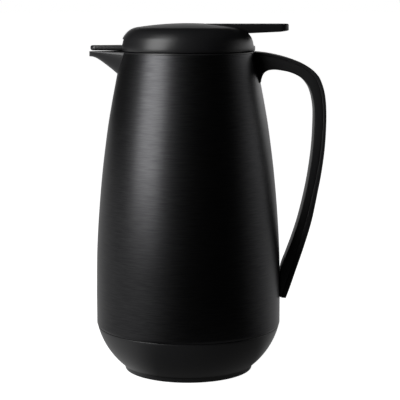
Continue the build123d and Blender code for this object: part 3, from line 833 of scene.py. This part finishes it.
finishes = {"shell": shellMetal, "black_plastic": satinBlack, "inner_plastic": innerBlack,
            "rubber": dullRubber, "seal": whiteSilicone, "liner_glass": linerGlass,
            "steel": plainSteel}
for entry in frame["record"]["subparts"]:
    node = nodes[entry["node"]]
    node.data.materials.clear()
    node.data.materials.append(finishes[entry["material_slot"]])


# Floor, light and camera

# Pale floor for the eye; the jug sees it dark in front and glowing at the sides
def makeFloor():
    look = {"pale": 1.0, "glow": 0.46, "near": 0.10, "dark": 0.006,
            "nearFrom": 0.26, "nearTo": 0.07, "darkTowards": (0.42, -0.906, 0), "darkEnd": 0.85,
            "lightFrom": 0.0}
    bm = bmesh.new()
    bmesh.ops.create_grid(bm, x_segments=1, y_segments=1, size=60)
    floor = makeObject(bm, "floor")
    material = bpy.data.materials.new("paleFloor")
    material.use_nodes = True
    tree = material.node_tree
    tree.nodes.clear()
    where = addNode(tree, "ShaderNodeTexCoord")
    way = addNode(tree, "ShaderNodeVectorMath", [(0, where.outputs["Object"])],
                  operation="NORMALIZE")
    facing = addNode(tree, "ShaderNodeVectorMath", [(0, way.outputs[0])], operation="DOT_PRODUCT")
    facing.inputs[1].default_value = look["darkTowards"]
    sides = addNode(tree, "ShaderNodeMapRange", [("Value", facing.outputs["Value"])],
                    interpolation_type="SMOOTHSTEP")
    sides.inputs["From Min"].default_value = look["darkEnd"]
    sides.inputs["From Max"].default_value = look["lightFrom"]
    sides.inputs["To Min"].default_value = look["dark"]
    sides.inputs["To Max"].default_value = look["glow"]
    away = addNode(tree, "ShaderNodeVectorMath", [(0, where.outputs["Object"])], operation="LENGTH")
    close = addNode(tree, "ShaderNodeMapRange", [("Value", away.outputs["Value"])],
                    interpolation_type="SMOOTHSTEP")
    close.inputs["From Min"].default_value = look["nearFrom"]
    close.inputs["From Max"].default_value = look["nearTo"]
    close.inputs["To Max"].default_value = look["near"]
    strength = addNode(tree, "ShaderNodeMath", [(0, sides.outputs[0]), (1, close.outputs[0])],
                       operation="MAXIMUM")
    felt = addNode(tree, "ShaderNodeEmission", [("Strength", strength.outputs[0])])
    seen = addNode(tree, "ShaderNodeBsdfDiffuse")
    seen.inputs["Color"].default_value = (0.5, 0.5, 0.5, 1)
    shine = addNode(tree, "ShaderNodeEmission")
    shine.inputs["Strength"].default_value = look["pale"]
    pale = addNode(tree, "ShaderNodeAddShader", [(0, seen.outputs[0]), (1, shine.outputs[0])])
    path = addNode(tree, "ShaderNodeLightPath")
    mix = addNode(tree, "ShaderNodeMixShader", [(0, path.outputs["Is Camera Ray"]),
                                                (1, felt.outputs[0]), (2, pale.outputs[0])])
    out = addNode(tree, "ShaderNodeOutputMaterial")
    tree.links.new(mix.outputs[0], out.inputs["Surface"])
    floor.data.materials.append(material)


softBoxes = {"keyBox": {"azimuth": -55, "height": 0.61, "distance": 1.1, "width": 0.72,
                        "tall": 1.0, "power": 13},
             "upperBox": {"azimuth": -60, "height": 1.15, "distance": 0.75, "width": 0.5,
                          "tall": 0.5, "power": 1.8}}


# Soft box at an angle from the camera's side of the jug
def addLight(name, azimuth, height, distance, width, tall, power, aimHeight=0.12):
    data = bpy.data.lights.new(name, "AREA")
    data.shape = "RECTANGLE"
    data.size, data.size_y, data.energy = width, tall, power
    light = bpy.data.objects.new(name, data)
    a = radians(azimuth)
    light.location = (distance * sin(a), -distance * cos(a), height)
    aim = Vector((0, 0, aimHeight)) - light.location
    light.rotation_euler = aim.to_track_quat("-Z", "Y").to_euler()
    scene.collection.objects.link(light)


# Pale background for the eye; the jug sees a dark room with a glowing back wall
def makeWorld():
    glow = {"towards": (0.60, 0.80, 0.06), "from": 0.30, "to": 0.98, "strength": 1.1,
            "top": 0.42, "full": 0.1, "room": 0.003}
    world = bpy.data.worlds.new("studio")
    scene.world = world
    world.use_nodes = True
    tree = world.node_tree
    tree.nodes.clear()
    where = addNode(tree, "ShaderNodeTexCoord")
    facing = addNode(tree, "ShaderNodeVectorMath", [(0, where.outputs["Generated"])],
                     operation="DOT_PRODUCT")
    facing.inputs[1].default_value = glow["towards"]
    wall = addNode(tree, "ShaderNodeMapRange", [("Value", facing.outputs["Value"])],
                   interpolation_type="SMOOTHSTEP")
    wall.inputs["From Min"].default_value = glow["from"]
    wall.inputs["From Max"].default_value = glow["to"]
    wall.inputs["To Max"].default_value = glow["strength"]
    split = addNode(tree, "ShaderNodeSeparateXYZ", [(0, where.outputs["Generated"])])
    fade = addNode(tree, "ShaderNodeMapRange", [("Value", split.outputs["Z"])],
                   interpolation_type="SMOOTHSTEP")
    fade.inputs["From Min"].default_value = glow["top"]
    fade.inputs["From Max"].default_value = glow["full"]
    light = addNode(tree, "ShaderNodeMath", [(0, wall.outputs[0]), (1, fade.outputs[0])],
                    operation="MULTIPLY")
    total = addNode(tree, "ShaderNodeMath", [(0, light.outputs[0])], operation="ADD")
    total.inputs[1].default_value = glow["room"]
    felt = addNode(tree, "ShaderNodeBackground", [("Strength", total.outputs[0])])
    felt.inputs["Color"].default_value = (1, 1, 1, 1)
    seen = addNode(tree, "ShaderNodeBackground")
    seen.inputs["Color"].default_value = (1, 1, 1, 1)
    path = addNode(tree, "ShaderNodeLightPath")
    mix = addNode(tree, "ShaderNodeMixShader", [(0, path.outputs["Is Camera Ray"]),
                                                (1, felt.outputs[0]), (2, seen.outputs[0])])
    out = addNode(tree, "ShaderNodeOutputWorld")
    tree.links.new(mix.outputs[0], out.inputs["Surface"])


def makeCamera():
    view = {"place": (0.0089, -1.0093, 0.2791), "pitch": 8.42, "lens": 120.94, "sensor": 36}
    data = bpy.data.cameras.new("camera")
    data.lens, data.sensor_width = view["lens"], view["sensor"]
    data.clip_start, data.clip_end = 0.05, 30
    camera = bpy.data.objects.new("camera", data)
    camera.location = view["place"]
    camera.rotation_euler = (radians(90 - view["pitch"]), 0, 0)
    scene.collection.objects.link(camera)
    scene.camera = camera


makeFloor()
for name, box in softBoxes.items():
    addLight(name, **box)
makeWorld()
scene.view_settings.view_transform = "Standard"
makeCamera()
print("stage ready")
